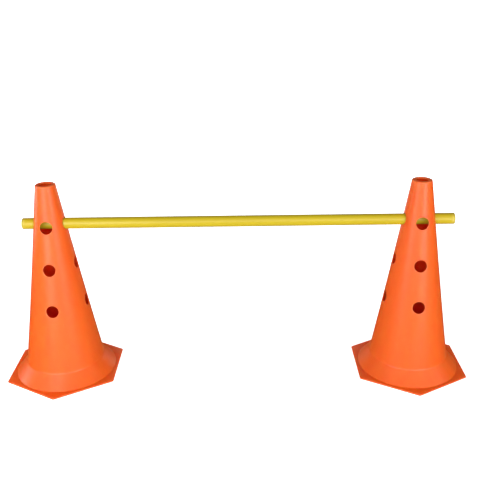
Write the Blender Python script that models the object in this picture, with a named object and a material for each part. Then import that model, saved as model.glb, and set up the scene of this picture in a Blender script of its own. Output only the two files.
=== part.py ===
"""An agility hurdle: two hollow cones on hexagonal feet and a pole through their top holes.

Metres, +Z up. The origin is on the floor, midway between the cones, and +X runs along the pole.
"""

import math

import bmesh
import bpy
from mathutils import Matrix, Vector

# Layout
CONE_SPACING = 0.856  # between the axes of the two cones
POLE_SHIFT = 0.009  # the middle of the pole is this far from the origin, towards +X
TOUCH_GAP = 0.0003  # left between pieces that touch

# Cone
CONE_HEIGHT = 0.480
TOP_RADIUS = 0.023
BODY_FOOT_RADIUS = 0.0935
BODY_FOOT_Z = 0.035
WAIST = 0.0012  # how far the body's wall is drawn in, half way down
WALL = 0.002
LIP_ROUND = 0.003
MOUTH_RADIUS = 0.0145
MOUTH_ROUND = 0.001
LAND_THICKNESS = 0.003  # the flat ring around the mouth

# The skirt that flares out from the body's foot, and the flat hexagon around it
SKIRT_RADIUS = 0.121
CREASE_ROUND = 0.018
UNDERSIDE_RADIUS = 0.1208
FLANGE_THICKNESS = 0.003
HEX_SIDES = 6
HEX_CORNER_RADIUS = 0.1486
HEX_CORNER_CUT = 0.0006  # what the rounding takes off each corner

# Holes through the cone's wall, on its four sides
HOLE_RADIUS = 0.0145
TOP_HOLE_Z = 0.386
HOLE_SPACING = 0.099
HOLE_ROWS = 3
HOLE_REACH = 0.1  # half the length of a cutter, past the widest wall that it meets

# Pole
POLE_LENGTH = 1.0
POLE_RADIUS = 0.013
POLE_WALL = 0.0016
CAP_HEAD = 0.0025
CAP_PLUG = 0.018
CAP_WALL = 0.0015
CAP_ROUND = 0.0012

# Fineness
CONE_STEPS = 48
HOLE_STEPS = 24
POLE_STEPS = 40
ROUND_STEPS = 3
BODY_RINGS = 6
SHARP_ANGLE = math.radians(35)

# The pole lies on the bottom of the holes.
HOLE_FLOOR = HOLE_RADIUS * math.cos(math.pi / HOLE_STEPS)
POLE_Z = TOP_HOLE_Z - (HOLE_FLOOR - POLE_RADIUS - TOUCH_GAP)

ORANGE = (0.90, 0.150, 0.035)
YELLOW = (0.90, 0.680, 0.050)


def clear_scene():
    for old in list(bpy.data.objects):
        bpy.data.objects.remove(old)


def plastic(name, colour, roughness):
    material = bpy.data.materials.new(name)
    material.use_nodes = True
    shader = material.node_tree.nodes["Principled BSDF"]
    shader.inputs["Base Color"].default_value = (*colour, 1)
    shader.inputs["Roughness"].default_value = roughness
    shader.inputs["Metallic"].default_value = 0
    return material


def rounded(corners):
    """The points of an open line through corners (radius, z, round), each turned by an arc of its round."""
    points = []
    last = len(corners) - 1
    for index, (radius, z, size) in enumerate(corners):
        corner = Vector((radius, z))
        if size == 0 or index in (0, last):
            points.append(corner)
            continue
        back = (Vector(corners[index - 1][:2]) - corner).normalized()
        ahead = (Vector(corners[index + 1][:2]) - corner).normalized()
        half_angle = back.angle(ahead) / 2
        centre = corner + (back + ahead).normalized() * (size / math.sin(half_angle))
        start = corner + back * (size / math.tan(half_angle)) - centre
        end = corner + ahead * (size / math.tan(half_angle)) - centre
        turn = start.angle_signed(end)
        for step in range(ROUND_STEPS + 1):
            swing = Matrix.Rotation(-turn * step / ROUND_STEPS, 2)
            points.append(centre + swing @ start)
    return points


def body_radius(z):
    """The outer radius of the cone's body at height z."""
    down = (CONE_HEIGHT - z) / (CONE_HEIGHT - BODY_FOOT_Z)
    straight = TOP_RADIUS + (BODY_FOOT_RADIUS - TOP_RADIUS) * down
    return straight - 4 * WAIST * down * (1 - down)


def hexagon_radius(angle):
    """The reach of the foot's outline, whose corners point along +Y and -Y."""
    side = 2 * math.pi / HEX_SIDES
    from_flat = (angle + side / 2) % side - side / 2
    apothem = HEX_CORNER_RADIUS * math.cos(side / 2)
    return min(apothem / math.cos(from_flat), HEX_CORNER_RADIUS - HEX_CORNER_CUT)


def cone_profile():
    """The cone's section, down its outer side and back up its inner side."""
    body_heights = []
    for step in range(1, BODY_RINGS):
        share = step / BODY_RINGS
        body_heights.append(CONE_HEIGHT + (BODY_FOOT_Z - CONE_HEIGHT) * share)
    land_z = CONE_HEIGHT - LAND_THICKNESS
    outer = [(MOUTH_RADIUS, land_z, 0), (MOUTH_RADIUS, CONE_HEIGHT, MOUTH_ROUND)]
    outer.append((TOP_RADIUS, CONE_HEIGHT, LIP_ROUND))
    outer += [(body_radius(z), z, 0) for z in body_heights]
    outer.append((BODY_FOOT_RADIUS, BODY_FOOT_Z, CREASE_ROUND))
    outer.append((SKIRT_RADIUS, FLANGE_THICKNESS, 0))
    foot = [(hexagon_radius, FLANGE_THICKNESS), (hexagon_radius, 0)]
    inner = [(UNDERSIDE_RADIUS, 0, 0)]
    inner.append((BODY_FOOT_RADIUS - WALL, BODY_FOOT_Z - WALL / 2, CREASE_ROUND))
    inner += [(body_radius(z) - WALL, z, 0) for z in reversed(body_heights)]
    inner.append((body_radius(land_z) - WALL, land_z, 0))
    return rounded(outer) + foot + rounded(inner)


def ring(mesh, radius, z, steps):
    """One turn of vertices. A radius of zero is a single vertex; it can also be a function of the angle."""
    if radius == 0:
        return [mesh.verts.new((0, 0, z))]
    turn = []
    for step in range(steps):
        angle = 2 * math.pi * step / steps
        reach = radius(angle) if callable(radius) else radius
        turn.append(mesh.verts.new((reach * math.cos(angle), reach * math.sin(angle), z)))
    return turn


def bridge(mesh, upper, lower, steps):
    for step in range(steps):
        after = (step + 1) % steps
        if len(upper) == 1 and len(lower) == 1:
            return
        if len(upper) == 1:
            mesh.faces.new((upper[0], lower[step], lower[after]))
        elif len(lower) == 1:
            mesh.faces.new((upper[step], lower[0], upper[after]))
        else:
            mesh.faces.new((upper[step], lower[step], lower[after], upper[after]))


def turned_mesh(name, profile, steps):
    """The solid that a closed profile sweeps about Z."""
    mesh = bmesh.new()
    rings = [ring(mesh, radius, z, steps) for radius, z in profile]
    for upper, lower in zip(rings, rings[1:] + rings[:1]):
        bridge(mesh, upper, lower, steps)
    data = bpy.data.meshes.new(name)
    mesh.to_mesh(data)
    mesh.free()
    return data


def piece(name, data, material, location, parent=None):
    data.materials.append(material)
    data.shade_smooth()
    data.set_sharp_from_angle(angle=SHARP_ANGLE)
    made = bpy.data.objects.new(name, data)
    made.parent = parent
    made.location = location
    bpy.context.scene.collection.objects.link(made)
    return made


def cut_holes(cone, axis):
    """Cuts the column of holes whose line runs along axis, X or Y, through both walls of the cone."""
    along_y = Matrix.Rotation(math.pi / 2, 4, "Z") if axis == "Y" else Matrix.Identity(4)
    lying = along_y @ Matrix.Rotation(math.pi / 2, 4, "Y")
    half_step = Matrix.Rotation(math.pi / HOLE_STEPS, 4, "Z")
    mesh = bmesh.new()
    for row in range(HOLE_ROWS):
        place = Matrix.Translation((0, 0, TOP_HOLE_Z - row * HOLE_SPACING))
        bmesh.ops.create_cone(
            mesh,
            cap_ends=True,
            segments=HOLE_STEPS,
            radius1=HOLE_RADIUS,
            radius2=HOLE_RADIUS,
            depth=2 * HOLE_REACH,
            matrix=place @ lying @ half_step,
        )
    name = f"{cone.name}_holes_along_{axis}"
    data = bpy.data.meshes.new(name)
    mesh.to_mesh(data)
    mesh.free()
    cutter = bpy.data.objects.new(name, data)
    cutter.parent = cone
    cutter.hide_render = True
    cutter.display_type = "WIRE"
    bpy.context.scene.collection.objects.link(cutter)
    cut = cone.modifiers.new(f"holes_along_{axis}", "BOOLEAN")
    cut.operation = "DIFFERENCE"
    cut.solver = "EXACT"
    cut.object = cutter


def make_cone(name, x, material):
    data = turned_mesh(name, cone_profile(), CONE_STEPS)
    cone = piece(name, data, material, (x, 0, 0))
    cut_holes(cone, "X")
    cut_holes(cone, "Y")


def make_pole(material):
    """The tube, with its origin on the pole's axis and on the line that it slides along."""
    half = POLE_LENGTH / 2 - CAP_HEAD - TOUCH_GAP
    bore = POLE_RADIUS - POLE_WALL
    profile = [(POLE_RADIUS, half), (POLE_RADIUS, -half), (bore, -half), (bore, half)]
    data = turned_mesh("pole_tube", profile, POLE_STEPS)
    data.transform(Matrix.Rotation(math.pi / 2, 4, "Y"))
    return piece("pole_tube", data, material, (POLE_SHIFT, 0, POLE_Z))


def make_cap(name, side, tube, material):
    """A plug with a flat head and a hollow shank. Side is -1 at the -X end and 1 at the +X end."""
    plug_radius = POLE_RADIUS - POLE_WALL - TOUCH_GAP
    end = POLE_LENGTH / 2
    head_back = end - CAP_HEAD
    tip = head_back - CAP_PLUG
    outside = [
        (0, end, 0),
        (POLE_RADIUS, end, CAP_ROUND),
        (POLE_RADIUS, head_back, 0),
        (plug_radius, head_back, 0),
        (plug_radius, tip, 0),
    ]
    inside = [(plug_radius - CAP_WALL, tip), (plug_radius - CAP_WALL, head_back), (0, head_back)]
    data = turned_mesh(name, rounded(outside) + inside, POLE_STEPS)
    data.transform(Matrix.Rotation(side * math.pi / 2, 4, "Y"))
    piece(name, data, material, (0, 0, 0), parent=tube)


def main():
    clear_scene()
    cone_plastic = plastic("cone_plastic", ORANGE, 0.35)
    pole_plastic = plastic("pole_plastic", YELLOW, 0.25)
    make_cone("cone_left", -CONE_SPACING / 2, cone_plastic)
    make_cone("cone_right", CONE_SPACING / 2, cone_plastic)
    tube = make_pole(pole_plastic)
    make_cap("pole_cap_left", -1, tube, pole_plastic)
    make_cap("pole_cap_right", 1, tube, pole_plastic)


main()
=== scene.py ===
"""The looks of the agility hurdle: semi-gloss moulded cones and a glossy pole on a pale studio floor.

Everything is in metres in the row frame, +Z up, with +X along the pole.
"""

import math

import bpy
import numpy as np
from mathutils import Matrix, Vector


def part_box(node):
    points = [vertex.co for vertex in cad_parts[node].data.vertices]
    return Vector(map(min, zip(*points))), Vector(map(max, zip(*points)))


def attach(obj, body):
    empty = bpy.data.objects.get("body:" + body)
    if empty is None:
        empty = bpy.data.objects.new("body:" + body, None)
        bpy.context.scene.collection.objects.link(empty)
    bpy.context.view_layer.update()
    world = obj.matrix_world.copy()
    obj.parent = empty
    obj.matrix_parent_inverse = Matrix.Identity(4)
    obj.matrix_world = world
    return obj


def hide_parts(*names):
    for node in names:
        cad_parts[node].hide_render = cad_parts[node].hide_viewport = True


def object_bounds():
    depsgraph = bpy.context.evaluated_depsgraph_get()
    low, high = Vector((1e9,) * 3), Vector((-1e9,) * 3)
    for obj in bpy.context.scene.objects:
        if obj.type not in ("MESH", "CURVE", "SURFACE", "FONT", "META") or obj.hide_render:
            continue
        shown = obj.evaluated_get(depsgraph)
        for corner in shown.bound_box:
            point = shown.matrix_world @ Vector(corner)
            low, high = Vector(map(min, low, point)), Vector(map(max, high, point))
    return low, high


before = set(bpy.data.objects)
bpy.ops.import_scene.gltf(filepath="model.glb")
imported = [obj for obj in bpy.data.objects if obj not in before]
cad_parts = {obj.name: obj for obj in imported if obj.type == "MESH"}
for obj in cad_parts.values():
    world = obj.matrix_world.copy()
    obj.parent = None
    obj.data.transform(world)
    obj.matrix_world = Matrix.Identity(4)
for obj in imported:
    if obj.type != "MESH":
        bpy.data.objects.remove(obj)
cad_low, cad_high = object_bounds()

cone_low, cone_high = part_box("cone_left")
CONE_HEIGHT = cone_high.z - cone_low.z

# Cone section, from the lip down to the foot
TOP_RADIUS = 0.023
LIP_ROUND = 0.003
MOUTH_RADIUS = 0.0145
MOUTH_ROUND = 0.001
LAND_THICKNESS = 0.003  # the flat ring around the mouth
LAND_FALL = 0.0002  # how far its underside falls from the mouth to the wall
LAND_ROUND = 0.001  # where its underside meets the wall
WALL = 0.002
WAIST = 0.0012  # how far the body's wall is drawn in, half way down
BODY_FOOT_RADIUS = 0.0935
BODY_FOOT_Z = 0.035
CREASE_ROUND = 0.008  # where the body meets the skirt
SKIRT_RADIUS = 0.121
SKIRT_ROUND = 0.0015  # where the skirt meets the flat foot
UNDERSIDE_RADIUS = 0.1208
UNDERSIDE_ROUND = 0.0008
FLANGE_THICKNESS = 0.003
FLANGE_ROUND = 0.0009
HEX_SIDES = 6
HEX_CORNER_RADIUS = 0.1486
HEX_CORNER_ROUND = 0.004

# Holes in the cone
HOLE_RADIUS = 0.0145
HOLE_ROUND = 0.0006
TOP_HOLE_Z = 0.386
HOLE_SPACING = 0.099
HOLE_ROWS = 3
HOLE_SIDES = 4

# Pole
POLE_WALL = 0.0016
POLE_END_ROUND = 0.0005
TOUCH_GAP = 0.0003  # between a plug and the tube
CAP_HEAD = 0.0025
CAP_PLUG = 0.018
CAP_WALL = 0.0015
CAP_ROUND = 0.0012
CAP_SOFT_ROUND = 0.0006
CAP_CRISP_ROUND = 0.0003
CAP_DISH_RADIUS = 0.0085
CAP_DISH_DEPTH = 0.0006
CAP_DISH_SLOPE = 0.0006  # how far the dish's side leans out on its way up
CAP_DISH_ROUND = 0.0004  # where the dish's side meets the head's face

# Fineness of the cone's mesh
COLUMNS = 96
BODY_START = 0.001  # from the lip's arc down to the body's first row
BODY_END = 0.008  # from the body's last row down to its foot
CELLS_ABOVE_HOLES = 14  # rows of faces on the body, outside the patches around its holes
CELLS_BETWEEN_HOLES = 12
CELLS_BELOW_HOLES = 26
PATCH_HALF_COLUMNS = 8  # a patch is the stretch of wall around one hole
PATCH_HALF_HEIGHT = 0.022
PATCH_CELLS = 16
PATCH_LOOPS = 4  # from the patch's border to the hole's rim
RIM_STEPS = 4
FOOT_RING = 0.003  # from the skirt out to the first ring on the foot
UNDERSIDE_RING = 0.002  # from the hollow out to the first ring under the foot
CORNER_COLUMNS = 2  # on each side of the middle of a foot's rounded corner
ROUND_STEPS = 4
SECTION_STEPS = 6  # for the arcs of the cone's section
SHARP_ANGLE = math.radians(60)

# Fineness of the pole's mesh
POLE_COLUMNS = 72
POLE_CELLS = 60
CAP_CENTRE_RING = 0.002  # the radius of the ring around the middle of a plug's head

# Studio
FLOOR_HALF = 400.0  # half the floor's side, far enough to have no edge in view
FLOOR_DROP = 0.0004  # how far the floor lies under the feet
FLOOR_GLOW = 0.9
WORLD_LIGHT = 0.02
FRONT_GLOW = 4.0
BACK_GLOW = 0.12

# Camera
CAMERA_PLACE = (0.026, -1.5191, 0.9562)
CAMERA_YAW = math.radians(-0.487)
CAMERA_PITCH = math.radians(22.171)
CAMERA_ROLL = math.radians(-0.883)
CAMERA_LENS_MM = 52.478
CAMERA_SENSOR_MM = 36

# The colour sockets of a Mix node, by number, because its other sockets have the same names
MIX_SHARE = 0
MIX_FIRST = 6
MIX_SECOND = 7
MIX_RESULT = 2


class Skin:
    """The vertices and faces of one mesh, with how much each vertex is exposed to wear."""

    def __init__(self):
        self.points = []
        self.wear = []
        self.faces = []

    def loop(self, points, wear=0.0):
        """Adds a row of vertices and returns their numbers."""
        first = len(self.points)
        self.points.extend(points)
        self.wear.extend([wear] * len(points))
        return list(range(first, len(self.points)))

    def bridge(self, first, second):
        """Joins two closed loops of the same length, or a loop and a single vertex."""
        count = max(len(first), len(second))
        for here in range(count):
            after = (here + 1) % count
            if len(first) == 1:
                self.faces.append((first[0], second[here], second[after]))
            elif len(second) == 1:
                self.faces.append((first[here], second[0], first[after]))
            else:
                self.faces.append((first[here], second[here], second[after], first[after]))

    def piece(self, name, material):
        """The finished object, shaded smooth except across its sharp edges."""
        mesh = bpy.data.meshes.new(name)
        mesh.from_pydata(self.points, [], self.faces)
        wear = mesh.attributes.new("wear", "FLOAT", "POINT")
        wear.data.foreach_set("value", np.array(self.wear, np.float32))
        mesh.materials.append(material)
        mesh.shade_smooth()
        mesh.set_sharp_from_angle(angle=SHARP_ANGLE)
        mesh.validate()
        made = bpy.data.objects.new(name, mesh)
        bpy.context.scene.collection.objects.link(made)
        return made


def rounded(corners, steps=ROUND_STEPS):
    """A line through corners (radius, z, round), each turned by an arc, as points (radius, z, wear)."""
    points = []
    last = len(corners) - 1
    for index, (radius, z, size) in enumerate(corners):
        corner = Vector((radius, z))
        if size == 0 or index in (0, last):
            points.append((radius, z, 0.0))
            continue
        back = (Vector(corners[index - 1][:2]) - corner).normalized()
        ahead = (Vector(corners[index + 1][:2]) - corner).normalized()
        half_angle = back.angle(ahead) / 2
        centre = corner + (back + ahead).normalized() * (size / math.sin(half_angle))
        start = corner + back * (size / math.tan(half_angle)) - centre
        end = corner + ahead * (size / math.tan(half_angle)) - centre
        turn = start.angle_signed(end)
        for step in range(steps + 1):
            point = centre + Matrix.Rotation(-turn * step / steps, 2) @ start
            points.append((point.x, point.y, 1.0 if turn > 0 else 0.0))
    return points


def quarter_turn(steps):
    """(1 - sine, 1 - cosine) of the angles of a quarter turn, which run from (1, 0) to (0, 1)."""
    angles = [math.pi / 2 * step / steps for step in range(steps + 1)]
    return [(1 - math.sin(angle), 1 - math.cos(angle)) for angle in angles]


def body_radius(z):
    """The outer radius of the cone's body at height z."""
    down = (CONE_HEIGHT - z) / (CONE_HEIGHT - BODY_FOOT_Z)
    straight = TOP_RADIUS + (BODY_FOOT_RADIUS - TOP_RADIUS) * down
    return straight - 4 * WAIST * down * (1 - down)


def circle(radius, z, count=COLUMNS):
    angles = [2 * math.pi * column / count for column in range(count)]
    return [(radius * math.cos(angle), radius * math.sin(angle), z) for angle in angles]


def hexagon(inset, z):
    """The foot's outline, drawn in by inset: a hexagon with rounded corners, two of them along Y."""
    side_columns = COLUMNS // HEX_SIDES
    half_turn = math.pi / HEX_SIDES
    apothem = HEX_CORNER_RADIUS * math.cos(half_turn)
    corner_reach = (apothem - HEX_CORNER_ROUND) / math.cos(half_turn)
    points = []
    for column in range(COLUMNS):
        side, step = divmod(column, side_columns)
        from_corner = step - side_columns // 2
        corner_angle = (2 * side + 1) * half_turn
        swing = max(-1, min(1, from_corner / CORNER_COLUMNS)) * half_turn
        outward = Vector((math.cos(corner_angle + swing), math.sin(corner_angle + swing)))
        corner = Vector((math.cos(corner_angle), math.sin(corner_angle))) * corner_reach
        point = corner + outward * (HEX_CORNER_ROUND - inset)
        past = abs(from_corner) - CORNER_COLUMNS
        if past > 0:
            share = past / (side_columns // 2 - CORNER_COLUMNS)
            point = point.lerp(outward * (apothem - inset), share)
        points.append((point.x, point.y, z))
    return points


def body_rows():
    """The heights of the body's rows from the lip down, and the first row of each hole's patch."""
    stops = [CONE_HEIGHT - LIP_ROUND - BODY_START]
    cells = []
    for row in range(HOLE_ROWS):
        centre = TOP_HOLE_Z - row * HOLE_SPACING
        cells += [CELLS_ABOVE_HOLES if row == 0 else CELLS_BETWEEN_HOLES, PATCH_CELLS]
        stops += [centre + PATCH_HALF_HEIGHT, centre - PATCH_HALF_HEIGHT]
    stops.append(BODY_FOOT_Z + BODY_END)
    cells.append(CELLS_BELOW_HOLES)
    heights = [stops[0]]
    starts = []
    for index, count in enumerate(cells):
        if index % 2 == 1:
            starts.append(len(heights) - 1)
        top, bottom = stops[index], stops[index + 1]
        heights += [top + (bottom - top) * (step + 1) / count for step in range(count)]
    return heights, starts


def patch_border(rows, start, middle):
    """The vertices where a hole's patch meets the plain rows, anticlockwise as seen from outside."""
    shifts = range(-PATCH_HALF_COLUMNS, PATCH_HALF_COLUMNS + 1)
    columns = [(middle + shift) % COLUMNS for shift in shifts]
    lines = range(start, start + PATCH_CELLS + 1)
    border = [rows[lines[-1]][column] for column in columns[:-1]]
    border += [rows[line][columns[-1]] for line in reversed(lines[1:])]
    border += [rows[lines[0]][column] for column in reversed(columns[1:])]
    border += [rows[line][columns[0]] for line in lines[:-1]]
    return border


def hole(skin, outer_rows, inner_rows, start, side, centre_z):
    """Fills a patch of both walls around one hole, with rounded rims and the hole's own wall between."""
    facing = 2 * math.pi * side / HOLE_SIDES
    along = Vector((math.cos(facing), math.sin(facing), 0))
    across = Vector((-math.sin(facing), math.cos(facing), 0))
    middle = side * COLUMNS // HOLE_SIDES
    outer = patch_border(outer_rows, start, middle)
    inner = patch_border(inner_rows, start, middle)
    rim = HOLE_RADIUS + HOLE_ROUND

    def seen_flat(border):
        """How far each vertex of a border is to the right of the hole's middle, and above it."""
        return [(Vector(skin.points[at]).dot(across), skin.points[at][2] - centre_z) for at in border]

    angles = [math.atan2(up, right) for right, up in seen_flat(outer)]

    def place(right, up, wall, depth):
        """The point there that is wall inside the body's outer surface, and then depth further in."""
        radius = body_radius(centre_z + up) - wall
        reach = math.sqrt(radius * radius - right * right) - depth
        point = along * reach + across * right
        return (point.x, point.y, centre_z + up)

    def ring(radius, wall, depth):
        return [place(radius * math.cos(angle), radius * math.sin(angle), wall, depth) for angle in angles]

    def between(border, share, wall):
        """The loop that lies a share of the way from a border to the rim."""
        points = []
        for (right, up), angle in zip(seen_flat(border), angles):
            moved_right = right + (rim * math.cos(angle) - right) * share
            moved_up = up + (rim * math.sin(angle) - up) * share
            points.append(place(moved_right, moved_up, wall, 0))
        return points

    loops = [outer]
    for step in range(1, PATCH_LOOPS):
        loops.append(skin.loop(between(outer, step / PATCH_LOOPS, 0)))
    for outwards, depth in quarter_turn(RIM_STEPS):
        loops.append(skin.loop(ring(HOLE_RADIUS + HOLE_ROUND * outwards, 0, HOLE_ROUND * depth), 1.0))
    for rise, outwards in quarter_turn(RIM_STEPS):
        loops.append(skin.loop(ring(HOLE_RADIUS + HOLE_ROUND * outwards, WALL, -HOLE_ROUND * rise)))
    for step in range(PATCH_LOOPS - 1, 0, -1):
        loops.append(skin.loop(between(inner, step / PATCH_LOOPS, WALL)))
    loops.append(inner)
    for first, second in zip(loops, loops[1:]):
        for here in range(len(first)):
            after = (here + 1) % len(first)
            skin.faces.append((first[here], first[after], second[after], second[here]))


def cone_section(first_z, last_z):
    """The section apart from the body's two walls, which run between first_z and last_z.

    Its stretches are the mouth and lip, the skirt, the hollow under it, and the land's underside.
    """
    land_z = CONE_HEIGHT - LAND_THICKNESS
    top = [
        (MOUTH_RADIUS, land_z, 0),
        (MOUTH_RADIUS, CONE_HEIGHT, MOUTH_ROUND),
        (TOP_RADIUS, CONE_HEIGHT, LIP_ROUND),
        (body_radius(first_z), first_z, 0),
    ]
    skirt = [
        (body_radius(last_z), last_z, 0),
        (BODY_FOOT_RADIUS, BODY_FOOT_Z, CREASE_ROUND),
        (SKIRT_RADIUS, FLANGE_THICKNESS, SKIRT_ROUND),
        (SKIRT_RADIUS + FOOT_RING, FLANGE_THICKNESS, 0),
    ]
    hollow = [
        (UNDERSIDE_RADIUS + UNDERSIDE_RING, 0, 0),
        (UNDERSIDE_RADIUS, 0, UNDERSIDE_ROUND),
        (BODY_FOOT_RADIUS - WALL, BODY_FOOT_Z - WALL / 2, CREASE_ROUND),
        (body_radius(last_z) - WALL, last_z, 0),
    ]
    under_land = [
        (body_radius(first_z) - WALL, first_z, 0),
        (body_radius(land_z) - WALL, land_z - LAND_FALL, LAND_ROUND),
        (MOUTH_RADIUS, land_z, 0),
    ]
    return (
        rounded(top, SECTION_STEPS)[:-1],
        rounded(skirt, SECTION_STEPS)[1:],
        rounded(hollow, SECTION_STEPS)[:-1],
        rounded(under_land)[1:-1],
    )


def cone_skin():
    """One cone about the Z axis."""
    skin = Skin()
    heights, starts = body_rows()
    top, skirt, hollow, under_land = cone_section(heights[0], heights[-1])

    def turned(section):
        return [skin.loop(circle(radius, z), wear) for radius, z, wear in section]

    rings = turned(top)
    outer = turned([(body_radius(z), z, 0.0) for z in heights])
    rings += outer
    rings += turned(skirt)
    for inset, drop in quarter_turn(ROUND_STEPS):
        rings.append(skin.loop(hexagon(FLANGE_ROUND * inset, FLANGE_THICKNESS - FLANGE_ROUND * drop), 1.0))
    for rise, inset in quarter_turn(ROUND_STEPS):
        rings.append(skin.loop(hexagon(FLANGE_ROUND * inset, FLANGE_ROUND * rise), 1.0))
    rings += turned(hollow)
    inner = turned([(body_radius(z) - WALL, z, 0.0) for z in reversed(heights)])
    rings += inner
    rings += turned(under_land)

    first_outer = len(top)
    first_inner = len(rings) - len(under_land) - len(inner)
    patched = set()
    for start in starts:
        for line in range(start, start + PATCH_CELLS):
            patched.add(first_outer + line)
            patched.add(first_inner + len(heights) - 2 - line)
    middles = [side * COLUMNS // HOLE_SIDES for side in range(HOLE_SIDES)]
    open_columns = {
        (middle + shift) % COLUMNS
        for middle in middles
        for shift in range(-PATCH_HALF_COLUMNS, PATCH_HALF_COLUMNS)
    }
    for line, (upper, lower) in enumerate(zip(rings, rings[1:] + rings[:1])):
        for column in range(COLUMNS):
            if line in patched and column in open_columns:
                continue
            after = (column + 1) % COLUMNS
            skin.faces.append((upper[column], lower[column], lower[after], upper[after]))
    inner_down = list(reversed(inner))
    for row, start in enumerate(starts):
        for side in range(HOLE_SIDES):
            hole(skin, outer, inner_down, start, side, TOP_HOLE_Z - row * HOLE_SPACING)
    return skin


def along_x(points, x, z):
    """Points about the Z axis, laid along +X through (x, 0, z)."""
    return [(x + up, -side, z + across) for across, side, up in points]


def make_cone(node, body, material):
    """A cone in place of its CAD node, on the CAD node's own axis."""
    low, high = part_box(node)
    skin = cone_skin()
    middle = (low.x + high.x) / 2
    skin.points = [(x + middle, y, z + low.z) for x, y, z in skin.points]
    cone = skin.piece(node + "_moulding", material)
    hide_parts(node)
    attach(cone, body)


def make_tube(material):
    """The pole's open tube, with rounded ends."""
    low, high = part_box("pole_tube")
    centre = (low + high) / 2
    half = (high.x - low.x) / 2
    radius = (high.z - low.z) / 2
    bore = radius - POLE_WALL
    ends = POLE_END_ROUND
    section = rounded([(bore, 0, 0), (bore, half, ends), (radius, half, ends), (radius, 0, 0)])[1:-1]
    section += [(radius, half - 2 * half * step / POLE_CELLS, 0.0) for step in range(1, POLE_CELLS)]
    section += rounded([(radius, 0, 0), (radius, -half, ends), (bore, -half, ends), (bore, 0, 0)])[1:-1]
    skin = Skin()
    rings = []
    for ring_radius, up, wear in section:
        points = along_x(circle(ring_radius, up, POLE_COLUMNS), centre.x, centre.z)
        rings.append(skin.loop(points, wear))
    for first, second in zip(rings, rings[1:] + rings[:1]):
        skin.bridge(first, second)
    tube = skin.piece("pole_tube_extruded", material)
    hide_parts("pole_tube")
    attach(tube, "pole")


def make_cap(node, side, material):
    """A plug with a dished head and a hollow shank. Side is -1 at the -X end and 1 at the +X end."""
    low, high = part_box(node)
    face_x = high.x if side > 0 else low.x
    centre_z = (low.z + high.z) / 2
    radius = (high.z - low.z) / 2
    shank = radius - POLE_WALL - TOUCH_GAP
    bore = shank - CAP_WALL
    back = -CAP_HEAD
    tip = back - CAP_PLUG
    section = [(0, -CAP_DISH_DEPTH, 0.0)]
    section += rounded(
        [
            (CAP_CENTRE_RING, -CAP_DISH_DEPTH, 0),
            (CAP_DISH_RADIUS, -CAP_DISH_DEPTH, CAP_SOFT_ROUND),
            (CAP_DISH_RADIUS + CAP_DISH_SLOPE, 0, CAP_DISH_ROUND),
            (radius, 0, CAP_ROUND),
            (radius, back, CAP_CRISP_ROUND),
            (shank, back, 0),
            (shank, tip, CAP_SOFT_ROUND),
            (bore, tip, CAP_CRISP_ROUND),
            (bore, back, CAP_SOFT_ROUND),
            (CAP_CENTRE_RING, back, 0),
        ]
    )
    section.append((0, back, 0.0))
    skin = Skin()
    rings = []
    for ring_radius, up, wear in section:
        points = [(0, 0, up)] if ring_radius == 0 else circle(ring_radius, up, POLE_COLUMNS)
        laid = along_x(points, 0, 0)
        if side < 0:
            laid = [(-x, -y, z) for x, y, z in laid]
        rings.append(skin.loop([(x + face_x, y, z + centre_z) for x, y, z in laid], wear))
    for first, second in zip(rings, rings[1:]):
        skin.bridge(first, second)
    cap = skin.piece(node + "_plug", material)
    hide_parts(node)
    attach(cap, "pole")


class Nodes:
    """A short way to build the node tree of a material or a world."""

    def __init__(self, owner):
        owner.use_nodes = True
        self.tree = owner.node_tree
        self.shader = self.tree.nodes.get("Principled BSDF")

    def add(self, kind, inputs=None, **settings):
        node = self.tree.nodes.new(kind)
        for key, value in settings.items():
            setattr(node, key, value)
        for key, value in (inputs or {}).items():
            self.set(node.inputs[key], value)
        return node

    def set(self, socket, value):
        """Gives an input a fixed value, or links another node's output to it."""
        if isinstance(value, bpy.types.NodeSocket):
            self.tree.links.new(value, socket)
        else:
            socket.default_value = value

    def coordinates(self, scale):
        """Object coordinates, stretched by scale along each axis."""
        source = self.add("ShaderNodeTexCoord").outputs["Object"]
        mapping = self.add("ShaderNodeMapping", {"Vector": source, "Scale": scale})
        return mapping.outputs["Vector"]

    def noise(self, vector, scale, detail=3.0, roughness=0.5):
        settings = {"Vector": vector, "Scale": scale, "Detail": detail, "Roughness": roughness}
        return self.add("ShaderNodeTexNoise", settings).outputs["Fac"]

    def ramp(self, value, low, high, out_low=0.0, out_high=1.0):
        settings = {"Value": value, "From Min": low, "From Max": high, "To Min": out_low, "To Max": out_high}
        return self.add("ShaderNodeMapRange", settings).outputs["Result"]

    def math(self, operation, first, second):
        node = self.add("ShaderNodeMath", operation=operation)
        self.set(node.inputs[0], first)
        self.set(node.inputs[1], second)
        return node.outputs[0]

    def mix(self, share, first, second):
        node = self.add("ShaderNodeMix", data_type="RGBA")
        self.set(node.inputs[MIX_SHARE], share)
        self.set(node.inputs[MIX_FIRST], first)
        self.set(node.inputs[MIX_SECOND], second)
        return node.outputs[MIX_RESULT]

    def bump(self, height, distance, strength, below=None):
        settings = {"Height": height, "Distance": distance, "Strength": strength}
        if below is not None:
            settings["Normal"] = below
        return self.add("ShaderNodeBump", settings).outputs["Normal"]


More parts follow.
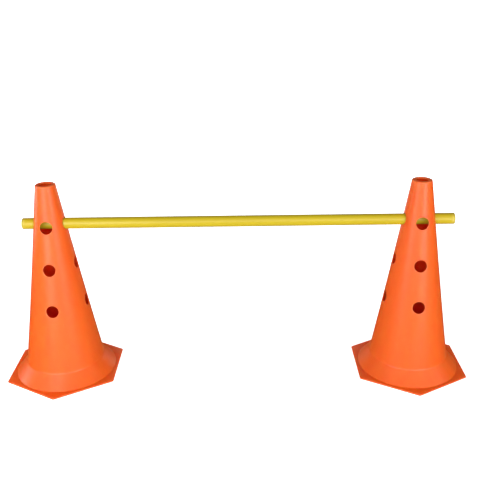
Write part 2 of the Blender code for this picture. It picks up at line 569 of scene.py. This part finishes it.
def plastic(name, base, deep, scuffed, roughness, grain, gloss, glow_through=0.0):
    """A moulded or extruded plastic, clouded and streaked between its base and deep colours.

    Grain stretches its flow lines: it is small along the way the plastic flowed.
    """
    material = bpy.data.materials.new(name)
    nodes = Nodes(material)
    plain = nodes.coordinates((1, 1, 1))
    flow = nodes.coordinates(grain)
    cloud = nodes.noise(plain, scale=9.0, detail=4.0)
    streak = nodes.noise(flow, scale=40.0, detail=4.0, roughness=0.6)
    line = nodes.noise(flow, scale=170.0, roughness=0.6)
    fleck = nodes.noise(plain, scale=420.0, detail=2.0)

    tone = nodes.math("ADD", nodes.math("MULTIPLY", cloud, 0.4), nodes.math("MULTIPLY", streak, 0.6))
    colour = nodes.mix(nodes.ramp(tone, low=0.35, high=0.65), (*base, 1), (*deep, 1))
    rub = nodes.noise(plain, scale=90.0, detail=5.0, roughness=0.65)
    exposed = nodes.add("ShaderNodeAttribute", attribute_name="wear").outputs["Fac"]
    edge = nodes.ramp(exposed, low=0.55, high=0.95)
    patches = nodes.ramp(rub, low=0.4, high=0.65, out_low=0.1, out_high=0.7)
    worn = nodes.math("MULTIPLY", edge, patches)
    scratch_way = nodes.coordinates([3 * stretch for stretch in grain])
    scratch = nodes.noise(scratch_way, scale=160.0, detail=2.0)
    scratch = nodes.ramp(scratch, low=0.68, high=0.74, out_high=0.2)
    marks = nodes.math("MAXIMUM", worn, scratch)
    colour = nodes.mix(marks, colour, (*scuffed, 1))

    rough = nodes.ramp(tone, low=0.35, high=0.65, out_low=roughness - 0.05, out_high=roughness + 0.05)
    rough = nodes.math("ADD", rough, nodes.math("MULTIPLY", marks, 0.4))
    swell = nodes.noise(plain, scale=34.0, detail=1.0)
    peel = nodes.bump(fleck, distance=0.00008, strength=0.4)
    drawn = nodes.bump(line, distance=0.0003, strength=0.3, below=peel)
    ripple = nodes.bump(swell, distance=0.0006, strength=0.15, below=drawn)
    nodes.set(nodes.shader.inputs["Base Color"], colour)
    nodes.set(nodes.shader.inputs["Roughness"], rough)
    nodes.set(nodes.shader.inputs["Normal"], ripple)
    nodes.set(nodes.shader.inputs["IOR"], 1.5)
    nodes.set(nodes.shader.inputs["Specular IOR Level"], gloss)
    nodes.set(nodes.shader.inputs["Subsurface Weight"], glow_through)
    nodes.set(nodes.shader.inputs["Subsurface Radius"], (1.0, 0.05, 0.02))
    nodes.set(nodes.shader.inputs["Subsurface Scale"], 0.008)
    return material


def floor_material():
    """A pale floor that glows to the camera, with a painted shadow: ambient occlusion cuts the glow where
    the hurdle is near, inside the cones and round the feet.
    """
    material = bpy.data.materials.new("studio_floor")
    nodes = Nodes(material)
    tint = nodes.noise(nodes.coordinates((1, 1, 1)), scale=3.0)
    pale = nodes.mix(tint, (0.93, 0.93, 0.93, 1), (0.95, 0.95, 0.95, 1))
    nodes.set(nodes.shader.inputs["Base Color"], pale)
    nodes.set(nodes.shader.inputs["Roughness"], 0.9)
    nodes.set(nodes.shader.inputs["Specular IOR Level"], 0.1)
    nodes.set(nodes.shader.inputs["Emission Color"], (1, 1, 1, 1))
    # painted shadow: ambient occlusion dims the floor's glow near the hurdle, darkest inside the cones
    occlusion_for_painted_shadow = nodes.add("ShaderNodeAmbientOcclusion", {"Distance": 0.4}, samples=8).outputs["AO"]
    seen = nodes.add("ShaderNodeLightPath").outputs["Is Camera Ray"]
    glow = nodes.math("MULTIPLY", nodes.ramp(occlusion_for_painted_shadow, low=0.08, high=0.35), FLOOR_GLOW)
    nodes.set(nodes.shader.inputs["Emission Strength"], nodes.math("MULTIPLY", glow, seen))
    return material


def make_floor():
    half = FLOOR_HALF
    z = cad_low.z - FLOOR_DROP
    corners = [(-half, -half, z), (half, -half, z), (half, half, z), (-half, half, z)]
    mesh = bpy.data.meshes.new("studio_floor")
    mesh.from_pydata(corners, [], [(0, 1, 2, 3)])
    mesh.materials.append(floor_material())
    floor = bpy.data.objects.new("studio_floor", mesh)
    bpy.context.scene.collection.objects.link(floor)
    floor.visible_glossy = False


def softbox(name, azimuth, distance, height, size, power, reflected=True):
    """A rectangular lamp aimed at the hurdle's middle, with its power in watts.

    Azimuth is in degrees: 0 is in front, towards -Y, and 90 is at +X.
    """
    turn = math.radians(azimuth)
    place = Vector((math.sin(turn) * distance, -math.cos(turn) * distance, height))
    data = bpy.data.lights.new(name, "AREA")
    data.shape = "RECTANGLE"
    data.size, data.size_y = size
    data.energy = power
    lamp = bpy.data.objects.new(name, data)
    lamp.location = place
    aim = Vector((0, 0, CONE_HEIGHT / 2)) - place
    lamp.rotation_euler = aim.to_track_quat("-Z", "Y").to_euler()
    lamp.visible_camera = False
    lamp.visible_glossy = reflected
    bpy.context.scene.collection.objects.link(lamp)


def make_world():
    """Plain white to look at.

    Its light is dim all round, with a low glow in front and a weaker one behind.
    """
    world = bpy.data.worlds.new("studio")
    nodes = Nodes(world)
    direction = nodes.add("ShaderNodeTexCoord").outputs["Generated"]
    split = nodes.add("ShaderNodeSeparateXYZ", {"Vector": direction})
    front = nodes.ramp(split.outputs["Y"], low=0.0, high=-1.0, out_high=FRONT_GLOW)
    back = nodes.ramp(split.outputs["Y"], low=0.0, high=1.0, out_high=BACK_GLOW)
    low = nodes.ramp(split.outputs["Z"], low=0.0, high=1.0, out_low=1.0, out_high=0.0)
    above = nodes.math("GREATER_THAN", split.outputs["Z"], 0.0)
    glow = nodes.math("MULTIPLY", nodes.math("ADD", front, back), nodes.math("MULTIPLY", low, above))
    light = nodes.math("ADD", glow, WORLD_LIGHT)
    seen = nodes.add("ShaderNodeLightPath").outputs["Is Camera Ray"]
    background = world.node_tree.nodes["Background"]
    nodes.set(background.inputs["Color"], (1, 1, 1, 1))
    nodes.set(background.inputs["Strength"], nodes.math("MAXIMUM", light, seen))
    bpy.context.scene.world = world


def make_light():
    """The lamps from front to back, by azimuth, distance, height, size and power.

    The two that fill the back are left out of reflections.
    """
    softbox("softbox_front_left", -35, 1.1, 0.45, (0.5, 0.8), 3.9)
    softbox("softbox_front_right", 37, 2.0, 0.4, (0.8, 0.7), 8)
    softbox("softbox_right_side", 85, 2.3, 1.4, (0.8, 0.7), 3.8)
    softbox("softbox_left_side", -98, 1.35, 0.45, (0.4, 0.5), 3.0)
    softbox("softbox_left_high", -110, 2.3, 2.4, (0.8, 0.7), 2)
    softbox("softbox_behind", 180, 0.9, 0.3, (0.9, 0.5), 0.9)
    softbox("softbox_fill_behind_right", 145, 2.2, 0.35, (1.2, 0.6), 15, reflected=False)
    softbox("softbox_fill_behind_left", -145, 2.2, 0.35, (1.2, 0.6), 15, reflected=False)


def make_camera():
    """The camera stands in front of the hurdle and a little above it, and looks down at it."""
    flat = math.cos(CAMERA_PITCH)
    forward = Vector((math.sin(CAMERA_YAW) * flat, math.cos(CAMERA_YAW) * flat, -math.sin(CAMERA_PITCH)))
    level = Vector((math.cos(CAMERA_YAW), -math.sin(CAMERA_YAW), 0))
    upright = level.cross(forward)
    right = level * math.cos(CAMERA_ROLL) + upright * math.sin(CAMERA_ROLL)
    up = upright * math.cos(CAMERA_ROLL) - level * math.sin(CAMERA_ROLL)
    data = bpy.data.cameras.new("camera")
    data.sensor_width = CAMERA_SENSOR_MM
    data.lens = CAMERA_LENS_MM
    camera = bpy.data.objects.new("camera", data)
    turn = Matrix((right, up, -forward)).transposed()
    camera.matrix_world = Matrix.Translation(CAMERA_PLACE) @ turn.to_4x4()
    bpy.context.scene.collection.objects.link(camera)
    bpy.context.scene.camera = camera


def main():
    orange = plastic(
        "cone_plastic",
        base=(0.94, 0.126, 0.010),
        deep=(0.89, 0.108, 0.007),
        scuffed=(0.96, 0.23, 0.08),
        roughness=0.36,
        grain=(1.0, 1.0, 0.12),
        gloss=0.45,
        glow_through=0.45,
    )
    yellow = plastic(
        "pole_plastic",
        base=(0.56, 0.43, 0.018),
        deep=(0.51, 0.385, 0.014),
        scuffed=(0.70, 0.58, 0.14),
        roughness=0.3,
        grain=(0.08, 1.0, 1.0),
        gloss=0.35,
    )
    make_cone("cone_left", "left_cone", orange)
    make_cone("cone_right", "right_cone", orange)
    make_tube(yellow)
    make_cap("pole_cap_left", -1, yellow)
    make_cap("pole_cap_right", 1, yellow)
    make_floor()
    make_light()
    make_world()
    make_camera()
    bpy.context.scene.view_settings.view_transform = "Standard"


main()
